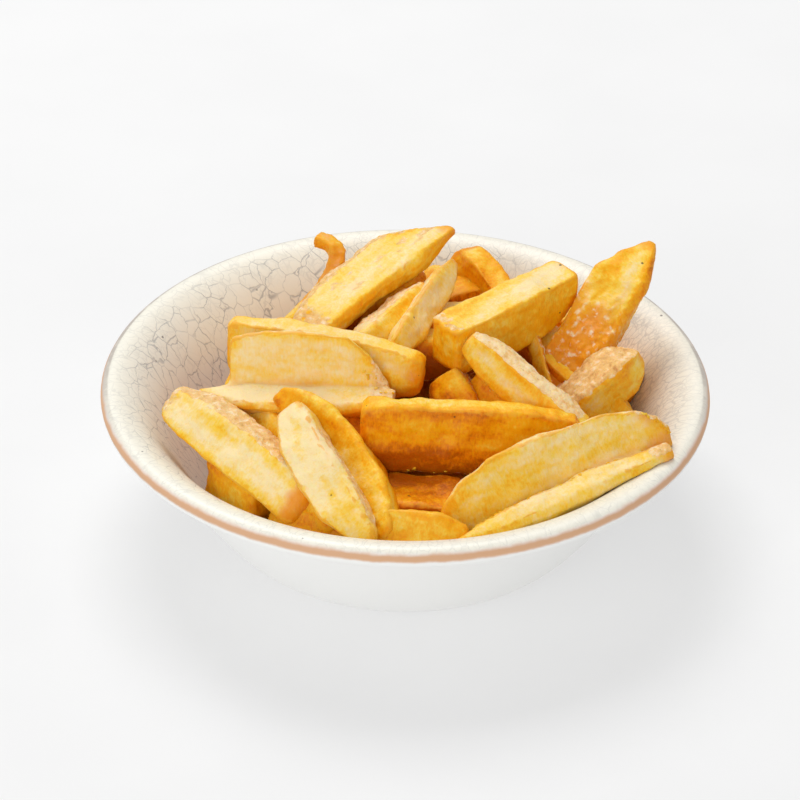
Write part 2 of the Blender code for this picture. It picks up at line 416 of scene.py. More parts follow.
@dataclass(frozen=True)
class FriedCrust:
    """Fried potato: pale in patches and painted paler on its lamp side, golden in between, orange at crisp
    edges, brown on skin.
    """

    name: str = "fried_crust"
    cream: tuple = (0.95, 0.76, 0.41)
    yellow: tuple = (0.96, 0.61, 0.05)
    golden: tuple = (0.94, 0.43, 0.003)
    orange: tuple = (0.83, 0.27, 0.001)
    # the darkest flesh: in dark patches, and where the painted shade deep in the heap is strong
    deep: tuple = (0.50, 0.12, 0.001)
    outline: tuple = (0.86, 0.40, 0.02)
    pale_hide: tuple = (0.94, 0.71, 0.40)
    hide: tuple = (0.86, 0.53, 0.20)
    bark: tuple = (0.55, 0.24, 0.07)
    # pale flakes of skin, and the painted highlights on bubbles
    flake_and_glint: tuple = (0.95, 0.78, 0.58)
    speck: tuple = (0.05, 0.02, 0.01)
    patch_size: float = 6.5             # millimetres, as the next five are
    mottle_size: float = 2.0
    grain_size: float = 0.7
    pore_size: float = 0.5
    bubble_size: float = 1.9
    speck_spacing: float = 6.5
    speck_size: float = 0.035           # share of the spacing
    fibre: float = 0.35                 # share by which patches and grain are drawn out
    patch_weight: float = 2.1           # how strongly each noise turns the flesh paler or darker
    mottle_weight: float = 0.9
    grain_weight: float = 0.8
    edge_weight: float = 0.65           # how much darker the flesh is near an edge
    sunk_weight: float = 1.3            # how much painted shade darkens it deep in the heap
    roughness: float = 0.40
    oil: float = 0.22                   # specular level
    subsurface: float = 0.2
    subsurface_radius: tuple = (1.0, 0.45, 0.08)
    subsurface_reach: float = 2.5       # millimetres

    def material(self) -> bpy.types.Material:
        """Build the crust's material.

        Returns:
            A material that reads the fry's own coordinates and the marks that its maker stored.
        """
        nodes = Sketch(self.name)
        place = nodes.attribute("fry_space", vector=True)
        marks = {name: nodes.attribute(name) for name in MARKS}
        patches = nodes.noise(nodes.scaled(place, (1.0, 1.0, self.fibre)), self.patch_size, 2.5)
        mottle = nodes.noise(place, self.mottle_size, 4.0)
        grain = nodes.noise(nodes.scaled(place, (1.0, self.fibre, 1.0)), self.grain_size, 3.0)
        bubbles = self.bubbles(nodes, place)

        colour = self.flesh(nodes, marks, patches, mottle, grain)
        heat = nodes.plus(marks["end"], nodes.stray(patches, 1.4))
        colour = nodes.blend(nodes.span(heat, 0.45, 1.25, 0.0, 0.85), colour, self.orange)
        worn = nodes.plus(marks["edge"], nodes.stray(mottle, 1.2))
        colour = nodes.blend(nodes.span(worn, 0.5, 1.05, 0.0, 0.75), colour, self.outline)
        boiled = nodes.span(nodes.plus(marks["boil"], nodes.stray(patches, 2.2)), 0.25, 1.1)
        # painted highlights: pale glints on the bubbles over an orange ground
        painted_glint = nodes.times(nodes.span(bubbles, 0.2, 0.5, 1.0, 0.0), nodes.span(mottle, 0.44, 0.58))
        boil_glints = nodes.blend(painted_glint, self.orange, self.flake_and_glint)
        colour = nodes.blend(nodes.times(boiled, 0.85), colour, boil_glints)
        covered = nodes.span(nodes.plus(marks["skin"], nodes.stray(mottle, 1.3)), 0.38, 0.72)
        colour = nodes.blend(nodes.times(covered, 0.9), colour, self.peel(nodes, place, marks["bark"]))
        colour = nodes.blend(self.specks(nodes, place), colour, self.speck)

        crackling = nodes.times(nodes.less(mottle, bubbles), nodes.most(covered, boiled))
        relief = nodes.bump(nodes.plus(nodes.times(mottle, 0.6), crackling), 0.45, 0.7)
        relief = nodes.bump(grain, 0.22, 0.7, relief)
        relief = nodes.bump(nodes.noise(place, self.pore_size, 3.0, 0.7), 0.10, 0.7, relief)
        shine = nodes.plus(nodes.times(mottle, 0.25), self.roughness - 0.12)
        return nodes.finish({
            "Base Color": colour,
            "Normal": relief,
            "Roughness": nodes.plus(shine, nodes.times(covered, 0.12)),
            "Specular IOR Level": self.oil,
            "Subsurface Weight": self.subsurface,
            "Subsurface Radius": self.subsurface_radius,
            "Subsurface Scale": self.subsurface_reach * MM,
        })

    def bubbles(self, nodes: Sketch, place: Socket) -> Socket:
        """Small round bubbles in an uneven pattern.

        Args:
            nodes: the material's tree.
            place: the spot in the fry's own coordinates, in millimetres.

        Returns:
            0 in the middle of a bubble, rising outwards.
        """
        bend = nodes.add("TexNoise", {"Vector": place, "Scale": 0.6}).outputs["Color"]
        wavy = nodes.add("VectorMath", {0: place, 1: bend}, operation="ADD").outputs[0]
        return nodes.cells(wavy, self.bubble_size, "SMOOTH_F1").outputs["Distance"]

    def flesh(self, nodes: Sketch, marks: dict, patches: Socket, mottle: Socket, grain: Socket) -> Socket:
        """The cut potato, from deep orange through golden and yellow to cream.

        Args:
            nodes: the material's tree.
            marks: the stored marks by name.
            patches: broad noise.
            mottle: finer noise.
            grain: streaks across the fry.

        Returns:
            The colour.
        """
        held = nodes.plus(marks["tone"], nodes.times(marks["near_edge"], self.edge_weight))
        # painted light: the side that faces the lamp turns paler
        # painted shade: the flesh turns darker deep in the heap
        level = nodes.less(marks["dry"], nodes.plus(held, nodes.times(marks["sunk"], self.sunk_weight)))
        weights = (self.patch_weight, self.mottle_weight, self.grain_weight)
        for noise, weight in zip((patches, mottle, grain), weights):
            level = nodes.plus(level, nodes.stray(noise, weight))
        colour = nodes.blend(nodes.span(level, -1.75, -1.15), self.deep, self.orange)
        colour = nodes.blend(nodes.span(level, -1.3, -0.85), colour, self.golden)
        colour = nodes.blend(nodes.span(level, -0.9, -0.4), colour, self.yellow)
        colour = nodes.blend(nodes.span(level, -0.6, 0.35), colour, self.cream)
        # painted shade: inward folds are made more golden
        return nodes.blend(nodes.times(marks["fold_shade"], 0.5), colour, self.golden)

    def peel(self, nodes: Sketch, place: Socket, bark: Socket) -> Socket:
        """Potato skin: beige and flaky, with brown blotches.

        Args:
            nodes: the material's tree.
            place: the spot in the fry's own coordinates.
            bark: how brown it is, 0 to 1.

        Returns:
            The colour.
        """
        blotch = nodes.noise(place, 2.0, 5.0, 0.6)
        fleck = nodes.noise(place, 0.8, 2.0)
        brown = nodes.plus(nodes.stray(blotch, -2.6), bark)
        ground = nodes.blend(nodes.span(brown, 0.0, 0.5), self.pale_hide, self.hide)
        colour = nodes.blend(nodes.span(brown, 0.5, 1.1, 0.0, 0.85), ground, self.bark)
        colour = nodes.blend(nodes.span(fleck, 0.62, 0.72, 0.0, 0.5), colour, self.bark)
        return nodes.blend(nodes.span(blotch, 0.52, 0.7, 0.0, 0.6), colour, self.flake_and_glint)

    def specks(self, nodes: Sketch, place: Socket) -> Socket:
        """A few small dark dots with ragged edges.

        Args:
            nodes: the material's tree.
            place: the spot in the fry's own coordinates.

        Returns:
            How much of the dark colour there is.
        """
        distance, picked, chance = nodes.dots(place, self.speck_spacing, 0.7)
        ragged = nodes.plus(distance, nodes.times(nodes.noise(place, 0.6), 0.06))
        size = nodes.times(chance, self.speck_size)
        return nodes.times(nodes.span(nodes.less(ragged, size), 0.05, 0.09, 0.85, 0.0), picked)


@dataclass(frozen=True)
class BowlSpot:
    """Sockets that say where on the bowl the shaded spot lies, in millimetres."""

    place: Socket
    across: Socket
    deep: Socket
    height: Socket
    radius: Socket
    wobble: Socket                      # soft noise from 0 to 1

    @classmethod
    def read(cls, nodes: Sketch, wobble_size: float) -> "BowlSpot":
        """Read the object's coordinates, which run round the bowl's axis.

        Args:
            nodes: the material's tree.
            wobble_size: size of the soft noise's lumps, in millimetres.

        Returns:
            The sockets.
        """
        place = nodes.scaled(nodes.add("TexCoord").outputs["Object"], (1 / MM, 1 / MM, 1 / MM))
        across, deep, height = nodes.add("SeparateXYZ", {0: place}).outputs
        radius = nodes.math("SQRT", nodes.plus(nodes.times(across, across), nodes.times(deep, deep)))
        return cls(place, across, deep, height, radius, nodes.noise(place, wobble_size, 3.0))


@dataclass(frozen=True)
class CrackleGlaze:
    """White glaze with a net of blue-grey cracks inside and a bare brown line round the lip."""

    name: str = "crackle_glaze"
    white: tuple = (0.92, 0.92, 0.90)
    # warm inside: partly the glaze's own tint, partly a painted reflection of the yellow fries
    inner: tuple = (0.90, 0.87, 0.76)
    crack: tuple = (0.26, 0.27, 0.29)
    clay: tuple = (0.72, 0.42, 0.24)
    speck: tuple = (0.10, 0.09, 0.09)
    rim_line: tuple = (0.42, 0.36, 0.31)
    crack_strength: float = 0.66
    net_radius: float = 62.0            # radius of the cylinder that the nets are laid on
    net_waver: float = 2.6              # how far they stray from it, in millimetres
    coarse: tuple = (3.8, 1.0, 0.05)    # each net's cells in millimetres, how much longer they are
    fine: tuple = (2.0, 1.2, 0.08)      # down the wall, and the cracks' width as a share of a cell
    hatch: tuple = (1.7, 2.2, 0.12)
    rays: tuple = (1.8, 3.0, 0.10)
    wobble_size: float = 5.0
    fade_size: float = 9.0              # size of the patches where the cracks are faint
    speck_spacing: float = 9.0
    roughness: float = 0.36
    bare_roughness: float = 0.3         # how much rougher the bare line is

    def material(self) -> bpy.types.Material:
        """Build the glaze's material.

        Returns:
            A material on object coordinates, which runs round the bowl's axis without a seam.
        """
        nodes = Sketch(self.name)
        spot = BowlSpot.read(nodes, self.wobble_size)
        inside = self.inside(nodes, spot)
        cracks = nodes.times(self.cracks(nodes, spot), inside)
        distance, picked, _ = nodes.dots(spot.place, self.speck_spacing, 0.55)
        dot = nodes.times(nodes.span(distance, 0.03, 0.06, 0.8, 0.0), picked)
        band = self.band(nodes, spot)

        # the inside's warm tint is partly a painted reflection of the fries
        colour = nodes.blend(inside, self.white, self.inner)
        colour = nodes.blend(nodes.times(cracks, self.crack_strength), colour, self.crack)
        colour = nodes.blend(nodes.times(dot, inside), colour, self.speck)
        colour = nodes.blend(band, colour, self.clay)
        colour = nodes.blend(self.far_line(nodes, spot), colour, self.rim_line)
        relief = nodes.bump(nodes.less(1.0, cracks), 0.08, 0.35, nodes.bump(spot.wobble, 0.25, 0.25))
        return nodes.finish({
            "Base Color": colour,
            "Roughness": nodes.plus(self.roughness, nodes.times(band, self.bare_roughness)),
            "Normal": relief,
        })

    def net(self, nodes: Sketch, spot: BowlSpot, size: float, stretch: float, width: float) -> Socket:
        """Cracks between cells that are laid on a cylinder about the bowl's axis.

        Args:
            nodes: the material's tree.
            spot: where the shaded spot lies.
            size: the cells', in millimetres.
            stretch: how much longer they are down the wall.
            width: the cracks', as a share of a cell.

        Returns:
            1 on a crack and 0 beside it.
        """
        shift = nodes.stray(spot.wobble, self.net_waver)
        x, y = (nodes.plus(nodes.times(nodes.math("DIVIDE", part, spot.radius), self.net_radius), shift)
                for part in (spot.across, spot.deep))
        down = nodes.less(nodes.times(spot.radius, 1.0 / stretch), shift)
        vector = nodes.add("CombineXYZ", {0: x, 1: y, 2: down}).outputs[0]
        distance = nodes.cells(vector, size, "DISTANCE_TO_EDGE").outputs["Distance"]
        return nodes.span(distance, 0.0, width, 1.0, 0.0)

    def cracks(self, nodes: Sketch, spot: BowlSpot) -> Socket:
        """Coarse and fine cells on the left, hatching on the right and rays at the lip.

        Args:
            nodes: the material's tree.
            spot: where the shaded spot lies.

        Returns:
            How dark the crack is, 0 to 1.
        """
        fade = nodes.noise(spot.place, self.fade_size, 2.0)
        right = nodes.span(spot.across, 10.0, 60.0)
        coarse = nodes.times(self.net(nodes, spot, *self.coarse), nodes.span(fade, 0.3, 0.6, 0.35, 0.95))
        coarse = nodes.times(coarse, nodes.less(1.0, nodes.times(right, 0.6)))
        fine = nodes.times(self.net(nodes, spot, *self.fine), nodes.span(fade, 0.4, 0.62, 0.0, 0.32))
        hatch = nodes.times(nodes.times(self.net(nodes, spot, *self.hatch), right), 0.55)
        rays = nodes.times(self.net(nodes, spot, *self.rays), nodes.span(spot.radius, 74.0, 82.0))
        rays = nodes.times(rays, nodes.span(spot.wobble, 0.35, 0.6, 0.05, 0.3))
        body = nodes.most(coarse, nodes.most(fine, hatch))
        return nodes.most(nodes.times(body, nodes.span(spot.radius, 80.0, 86.0, 1.0, 0.25)), rays)

    @staticmethod
    def inside(nodes: Sketch, spot: BowlSpot) -> Socket:
        """Where the glaze is the inside's.

        Args:
            nodes: the material's tree.
            spot: where the shaded spot lies.

        Returns:
            1 inside the bowl and over its lip, 0 on the outside.
        """
        normal = nodes.add("NewGeometry").outputs["True Normal"]
        facing = nodes.add("SeparateXYZ", {0: normal}).outputs[2]
        return nodes.times(nodes.span(facing, 0.0, 0.25), nodes.span(spot.radius, 88.6, 89.4, 1.0, 0.0))

    @staticmethod
    def band(nodes: Sketch, spot: BowlSpot) -> Socket:
        """The bare clay line on the lip's outer edge.

        Args:
            nodes: the material's tree.
            spot: where the shaded spot lies.

        Returns:
            1 on the line, 0 beside it.
        """
        level = nodes.plus(spot.height, nodes.stray(spot.wobble, 1.0))
        line = nodes.times(nodes.span(level, 44.3, 45.5), nodes.span(level, 46.4, 47.6, 1.0, 0.0))
        return nodes.times(line, nodes.span(spot.radius, 87.0, 87.8))

    @staticmethod
    def far_line(nodes: Sketch, spot: BowlSpot) -> Socket:
        """The thin dark line along the lip's crest, which fades out on the near side.

        Args:
            nodes: the material's tree.
            spot: where the shaded spot lies.

        Returns:
            How dark the line is, 0 to 1.
        """
        line = nodes.times(nodes.span(spot.radius, 87.5, 88.2), nodes.span(spot.radius, 89.2, 89.7, 1.0, 0.0))
        line = nodes.times(line, nodes.span(spot.deep, -50.0, 20.0))
        return nodes.times(line, nodes.span(spot.wobble, 0.3, 0.6, 0.5, 0.85))


@dataclass(frozen=True)
class PaleFloor:
    """Off-white light table: a matt board that also glows softly, so shadows on it stay faint."""

    name: str = "pale_floor"
    colour: tuple = (0.46, 0.46, 0.46)
    cloud_size: float = 0.09            # metres
    cloud_shade: float = 0.96           # how dark the clouds are beside the colour
    glow: float = 0.43
    glow_colour: tuple = (1.0, 1.0, 1.0)
    roughness: float = 0.85
    specular: float = 0.1

    def material(self) -> bpy.types.Material:
        """Build the floor's material.

        Returns:
            The material.
        """
        nodes = Sketch(self.name)
        cloud = nodes.noise(nodes.add("TexCoord").outputs["Object"], self.cloud_size, 3.0)
        dark = tuple(self.cloud_shade * part for part in self.colour)
        return nodes.finish({
            "Base Color": nodes.blend(nodes.span(cloud, 0.3, 0.7), dark, self.colour),
            "Roughness": self.roughness,
            "Specular IOR Level": self.specular,
            "Emission Color": self.glow_colour,
            "Emission Strength": self.glow,
        })


# ---------------------------------------------------------------- the bowl

RIM_RADIUS = 90.0
BOWL_HEIGHT = 48.0
BASE_RADIUS = 51.0
NECK_RADIUS = 80.0
NECK_HEIGHT = 41.0
WALL_BELLY = (58.4, 1.1)        # control point that bends the wall out of the base
WALL_THICKNESS = 4.5
RIM_ROUND = 3.0
LIP_LEVEL = 47.9                # the lip's slope sets out level at this height
LIP_SHARE = 0.16                # share of the wall that the lip's soft inner edge takes


def wall_line(inset: float, steps: int) -> list[tuple]:
    """The wall's line from base to neck, moved inwards along its normal.

    Args:
        inset: how far in, in millimetres.
        steps: the number of stretches.

    Returns:
        Radius and height of each point.
    """
    start, end = (BASE_RADIUS, 0.0), (NECK_RADIUS, NECK_HEIGHT)
    points = []
    for step, point in enumerate(bezier(start, WALL_BELLY, end, steps)):
        t = step / steps
        run = (1 - t) * (WALL_BELLY[0] - start[0]) + t * (end[0] - WALL_BELLY[0])
        rise = (1 - t) * (WALL_BELLY[1] - start[1]) + t * (end[1] - WALL_BELLY[1])
        length = math.hypot(run, rise)
        points.append((point[0] - inset * rise / length, point[1] + inset * run / length))
    return points


def inner_line(inset: float, steps: int) -> list[tuple]:
    """The inside from the floor's edge up the wall and over the lip's soft inner edge to its crest.

    Args:
        inset: how far inside the outer wall's line, in millimetres.
        steps: the number of stretches of a whole wall.

    Returns:
        Radius and height of each point.
    """
    wall = wall_line(inset, steps)
    wall = wall[:steps + 1 - round(LIP_SHARE * steps)]
    (below, low), foot = wall[-2:]
    rise = (LIP_LEVEL - foot[1]) / (foot[1] - low)
    corner = (foot[0] + rise * (foot[0] - below), LIP_LEVEL)
    crest = (RIM_RADIUS - RIM_ROUND, BOWL_HEIGHT)
    return wall + bezier(foot, corner, crest, steps)[1:]


@dataclass
class Bowl:
    """The turned bowl, drawn up ring by ring from its base."""

    name: str = "crackle_bowl"
    node: str = "bowl"
    slot: str = "crackle_glaze"
    segments: int = 180
    wall_steps: int = 14
    rim_steps: int = 10
    floor_radii: tuple = (30.0, 12.0)
    crease: float = 40.0            # degrees past which an edge stays sharp
    glaze: CrackleGlaze = field(default_factory=CrackleGlaze)

    def profile(self) -> list[tuple]:
        """The bowl's outline.

        Returns:
            Radius and height from the base's edge up, over the lip and down to the floor.
        """
        centre = (RIM_RADIUS - RIM_ROUND, BOWL_HEIGHT - RIM_ROUND)
        edge = []
        for step in range(self.rim_steps + 1):
            angle = math.pi * (step / self.rim_steps - 0.5)
            edge.append((centre[0] + RIM_ROUND * math.cos(angle), centre[1] + RIM_ROUND * math.sin(angle)))
        inner = inner_line(WALL_THICKNESS, self.wall_steps)[::-1]
        floor = [(radius, inner[-1][1]) for radius in self.floor_radii]
        return wall_line(0.0, self.wall_steps) + edge + inner[1:] + floor

    def build(self) -> bpy.types.Object:
        """Turn the bowl and glaze it.

        Returns:
            The bowl as a closed piece.
        """
        bowl = turned(self.name, self.profile(), self.segments)
        bowl.data.materials.append(self.glaze.material())
        only(bowl)
        bpy.ops.object.shade_smooth_by_angle(angle=math.radians(self.crease))
        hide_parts(self.node)
        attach(bowl, BODY)
        log.info("%s: %d faces", bowl.name, len(bowl.data.polygons))
        return bowl


# ---------------------------------------------------------------- the fries

CURL_LAP = 0.3                  # share of its length by which each limb of a curl runs on at both ends


class Cut(Enum):
    """Outlines of a fry's section in half widths and half depths, clockwise from the top left."""

    STICK = ((-1.0, 1.0), (1.0, 1.0), (1.0, -1.0), (-1.0, -1.0))
    WEDGE = ((-0.12, 1.0), (0.12, 1.0), (1.0, -0.42), (0.8, -0.8), (0.0, -1.0), (-0.8, -0.8), (-1.0, -0.42))
    SLAB = ((-0.5, 1.0), (0.5, 1.0), (1.0, -0.2), (0.85, -0.8), (0.0, -1.0), (-0.85, -0.8), (-1.0, -0.2))
    PLANK = ((-1.0, 0.4), (-0.6, 1.0), (0.9, 1.0), (1.0, 0.75), (0.9, -0.3), (0.3, -1.0), (-0.5, -0.75))
    HIDE_TOP = ((-0.85, 0.55), (-0.2, 1.0), (0.42, 0.88), (1.0, -0.75), (0.3, -1.0), (-0.7, -0.8))
    SHELF = ((-1.0, 0.4), (-0.3, 0.9), (0.8, 0.6), (1.0, 0.15), (0.45, -0.75), (-0.5, -1.0))
    LEG = ((-1.0, 0.85), (0.4, 1.0), (1.0, -1.0), (-0.8, -1.0))


@dataclass(frozen=True)
class Limb:
    """One straight or bent run of a fry, from the middle of its tail end to that of its tip end."""

    cut: Cut
    tail: tuple
    tip: tuple
    width: float
    depth: float
    roll: float = 0.0               # degrees about the length, + lifts the right-hand side
    narrow: tuple = (0.8, 0.7)      # share of the width left at the tail and at the tip
    thin: tuple = (0.8, 0.7)        # share of the depth left at the tail and at the tip
    pin: tuple = (0.0, 0.0)         # point of the section that the ends draw in to
    bow: float = 0.0                # how far the middle rises
    sway: float = 0.0               # how far the middle moves to the right

    @property
    def length(self) -> float:
        """The distance from tail to tip."""
        return (Vector(self.tip) - Vector(self.tail)).length

    def placement(self) -> Matrix:
        """How the limb lies in the bowl.

        Returns:
            The matrix from the limb's own axes, left, up and along, to the bowl's, in millimetres.
        """
        along = (Vector(self.tip) - Vector(self.tail)).normalized()
        right = along.cross(Vector((0, 0, 1))).normalized()
        up = right.cross(along)
        turn = Matrix((-right, up, along)).transposed().to_4x4()
        return Matrix.Translation(self.tail) @ turn @ Matrix.Rotation(-math.radians(self.roll), 4, "Z")


@dataclass(frozen=True)
class Skin:
    """A stretch of the fry that kept its potato skin."""

    facing: tuple                   # right and up, as seen along the fry
    reach: float = 0.5              # how far the skin wraps round from there, 0 to 1
    start: float = 0.0              # share of the length where it starts
    stop: float = 1.0               # share of the length where it stops
    fade: float = 0.1               # share of the length over which it stops


@dataclass(frozen=True)
class Fry:
    """One fry: its limbs and how it is fried."""

    name: str
    limbs: tuple
    tone: float = 0.6               # 0 is pale, 1 is deep golden
    skins: tuple = ()
    bark: float = 0.4               # how brown its skin is
    boils: tuple = ()               # stretches with orange bubbles and painted highlights on them, given as skin is
    blister: float = 0.35           # height of the blisters on its skin, in millimetres
    lumps: float = 2.6              # unevenness of its faces, in millimetres
    ends: tuple = (0.6, 0.8)        # how browned the tail and the tip are


def lone(name: str, cut: Cut, tail: tuple, tip: tuple, width: float, depth: float, **rest: object) -> Fry:
    """A fry of one limb.

    Args:
        name: the piece's name.
        cut: the section's outline.
        tail: where it starts, in millimetres.
        tip: where it ends, in millimetres.
        width: across it, in millimetres.
        depth: its height, in millimetres.
        rest: any other field of Limb or Fry.

    Returns:
        The fry.
    """
    looks = {key: rest.pop(key) for key in list(rest) if key in Fry.__dataclass_fields__}
    return Fry(name, (Limb(cut, tail, tip, width, depth, **rest),), **looks)


def curled(start: tuple, bend: tuple, end: tuple, steps: int, width: float, depth: float) -> tuple:
    """Limbs of even size along a curve, for a strip that curls.

    Args:
        start: where it starts, in millimetres.
        bend: the point that it bends towards.
        end: where it ends.
        steps: the number of limbs.
        width: across it, in millimetres.
        depth: its height, in millimetres.

    Returns:
        The limbs, each of which runs on into the next.
    """
    spots = [Vector(spot) for spot in bezier(start, bend, end, steps)]
    limbs = []
    for near, far in zip(spots, spots[1:]):
        lap = CURL_LAP * (far - near)
        limbs.append(Limb(Cut.STICK, tuple(near - lap), tuple(far + lap), width, depth,
                          narrow=(1, 1), thin=(1, 1)))
    return tuple(limbs)


# Fries that show on top, from the far side to the near side
TOP_FRIES = (
    Fry("curl", curled((-37, 37, 42), (-12, 46, 64), (-27, 52, 64.5), 9, 4.8, 3.6),
        tone=0.5, lumps=0.8, ends=(0.4, 0.9)),
    lone("plank", Cut.PLANK, (-32, 8, 56), (10, 49, 71), 19, 11, roll=-4, narrow=(0.6, 0.15),
         thin=(0.8, 0.35), pin=(0.7, 0.5), sway=-1, tone=0.6, blister=0.4, ends=(0.2, 1.0), bark=0.55,
         skins=(Skin((-0.66, 0.75), 0.2), Skin((-0.5, 1.0), 0.3, 0.0, 0.1))),
    lone("far_nub", Cut.STICK, (6, 38, 48), (12, 52, 53), 9, 9, tone=0.8),
    Fry("far_arch", (Limb(Cut.STICK, (32, 34, 48), (18, 56, 58), 8, 9, bow=2, narrow=(0.9, 0.8)),
                     Limb(Cut.STICK, (18, 54, 59), (15, 49, 48), 6, 6)),
        tone=0.9, ends=(0.3, 1.3)),
    lone("far_stub", Cut.STICK, (10, 40, 48), (32, 52, 48), 10, 12, tone=1.1, ends=(0.8, 1.0)),
    lone("left_sliver", Cut.WEDGE, (-15, -3, 58), (5, 26, 63), 15, 10, roll=-10, narrow=(0.7, 0.5),
         thin=(0.7, 0.5), tone=0.3, skins=(Skin((-1.0, 0.3), 0.4, 0.3, 1.0),), bark=0.2),
    lone("mid_sliver", Cut.WEDGE, (-4, -6, 60), (14, 37, 66), 10, 10, narrow=(0.7, 0.3), thin=(0.7, 0.3),
         tone=0.2, ends=(0.3, 0.8)),
    lone("big_stick", Cut.STICK, (11, -7, 62), (48, 25, 64), 13, 16, narrow=(0.95, 0.9), thin=(1.0, 0.6),
         pin=(0, 1), tone=0.55, lumps=2.2, ends=(0.5, 0.5), skins=(Skin((-0.4, 0.6), 0.3, 0.0, 0.05),)),
    lone("right_prop", Cut.STICK, (36, 22, 50), (52, 0, 44), 13, 12, tone=0.9),
    lone("skin_strip", Cut.WEDGE, (38, 10, 56), (43, -6, 45), 5, 7, tone=0.5, blister=0.5,
         boils=(Skin((-1.0, 0.3), 0.3),)),
    lone("upright", Cut.WEDGE, (42, -4, 34), (74, 33, 76), 22, 17, roll=-68, narrow=(0.9, 0.08),
         thin=(0.9, 0.12), sway=-1, tone=0.7, blister=0.8, ends=(0.6, 1.0),
         boils=(Skin((-0.3, 1.0), 0.9, 0.0, 0.42, 0.35),)),
    lone("right_skin", Cut.WEDGE, (46, -11, 41), (69, 2, 56), 18, 14, roll=-42, narrow=(0.8, 0.3),
         thin=(0.8, 0.4), tone=0.5, blister=0.4, bark=0.55, skins=(Skin((-0.85, 0.53), 0.5),)),
    lone("back_slab", Cut.SLAB, (-52, 3, 57), (5, -13, 56.5), 12, 20, roll=-4, narrow=(0.9, 0.8),
         thin=(0.9, 0.6), tone=0.4, ends=(0.7, 0.9)),
    Fry("left_scoop", (Limb(Cut.SHELF, (-60, -18, 52), (-3, -23, 54), 13, 9, narrow=(0.25, 0.6),
                            thin=(0.4, 0.8), pin=(0.2, 0.4), bow=-1.5),
                       Limb(Cut.LEG, (-51.5, -12, 59.5), (-5, -18, 61), 5, 22, roll=8, narrow=(0.9, 0.6),
                            thin=(0.85, 0.35), pin=(0, -1))),
        tone=0.12, ends=(0.5, 0.5), bark=0.3, skins=(Skin((0.5, 0.8), 0.9, 0.9, 1.1),)),
    lone("mid_wedge", Cut.WEDGE, (13, -8, 54), (22, -24, 42), 17, 14, tone=0.7, skins=(Skin((-1, 0), 0.3),)),
    lone("mid_frayed", Cut.WEDGE, (20, -10, 54), (38, -30, 46), 10, 10, narrow=(0.8, 0.5),
         thin=(0.8, 0.5), tone=0.7, blister=0.5, bark=0.3, skins=(Skin((-0.5, 1.0), 0.4),)),
    lone("skin_top", Cut.HIDE_TOP, (18, -9, 67), (53, -32, 47), 13, 12, narrow=(0.6, 0.7),
         thin=(0.6, 0.7), tone=0.5, blister=0.3, bark=0.1, skins=(Skin((-0.3, 1.0), 0.5, 0.0, 0.85),)),
    lone("centre_slab", Cut.SLAB, (-13, -34, 50), (50, -31, 45), 12, 24, roll=-4, narrow=(0.9, 0.8),
         thin=(0.9, 0.8), tone=0.85, ends=(0.5, 0.4), boils=(Skin((0.4, -0.9), 0.25),)),
    Fry("right_scoop", (Limb(Cut.SHELF, (15, -70.5, 36), (75.5, -40, 48.5), 8.5, 11, narrow=(0.2, 0.7),
                             thin=(0.3, 0.8), pin=(0.2, 0.4)),
                        Limb(Cut.LEG, (10, -61, 39), (75, -33, 53), 6, 25, roll=16, narrow=(0.7, 0.6),
                             thin=(0.6, 0.6), pin=(0, -1))),
        tone=0.22, ends=(0.2, 0.9), bark=0.5, skins=(Skin((-0.3, 0.9), 0.6, 0.93, 1.1),)),
    lone("gap_stub", Cut.STICK, (-26, -18, 48), (-8, -34, 40), 12, 12, tone=1.0),
    lone("left_wedge", Cut.HIDE_TOP, (-67, -18, 50.5), (-26, -57, 40.5), 20, 15, roll=18,
         narrow=(0.5, 0.8), thin=(0.6, 0.9), bow=2, tone=0.22, blister=0.6, ends=(0.3, 1.5), bark=0.4,
         skins=(Skin((-0.35, 1.0), 0.5, 0.0, 0.85), Skin((0.0, 1.0), 0.9, 0.0, 0.02))),
    lone("left_block", Cut.STICK, (-52, -34, 36), (-38, -51, 33.5), 14, 19, narrow=(0.95, 0.9),
         thin=(0.95, 0.9), tone=0.8),
    lone("behind_front", Cut.WEDGE, (-36, -25, 58), (-4, -67, 37), 16, 15, narrow=(0.4, 0.5),
         thin=(0.4, 0.5), sway=-7, tone=0.65, ends=(0.6, 0.6)),
    lone("front_wedge", Cut.WEDGE, (-32, -36, 60), (-9, -72, 39), 18, 12, roll=8, narrow=(0.55, 0.3),
         thin=(0.5, 0.4), sway=1, tone=0.15, ends=(0.4, 0.7), bark=0.45,
         skins=(Skin((-1.0, 0.3), 0.4, 0.25, 0.9),)),
    lone("lip_wedge", Cut.WEDGE, (-38, -55, 35), (-10, -66, 34), 14, 12, narrow=(0.5, 0.8),
         thin=(0.5, 0.8), tone=0.8),
    lone("deep_centre", Cut.STICK, (-10, -46, 33), (22, -50, 33), 16, 14, narrow=(0.9, 0.8),
         thin=(0.9, 0.8), tone=1.0),
    lone("front_centre", Cut.WEDGE, (-6, -63, 39), (18, -66, 37), 12, 12, narrow=(0.8, 0.6),
         thin=(0.8, 0.6), tone=0.65, ends=(0.2, 0.4)),
)

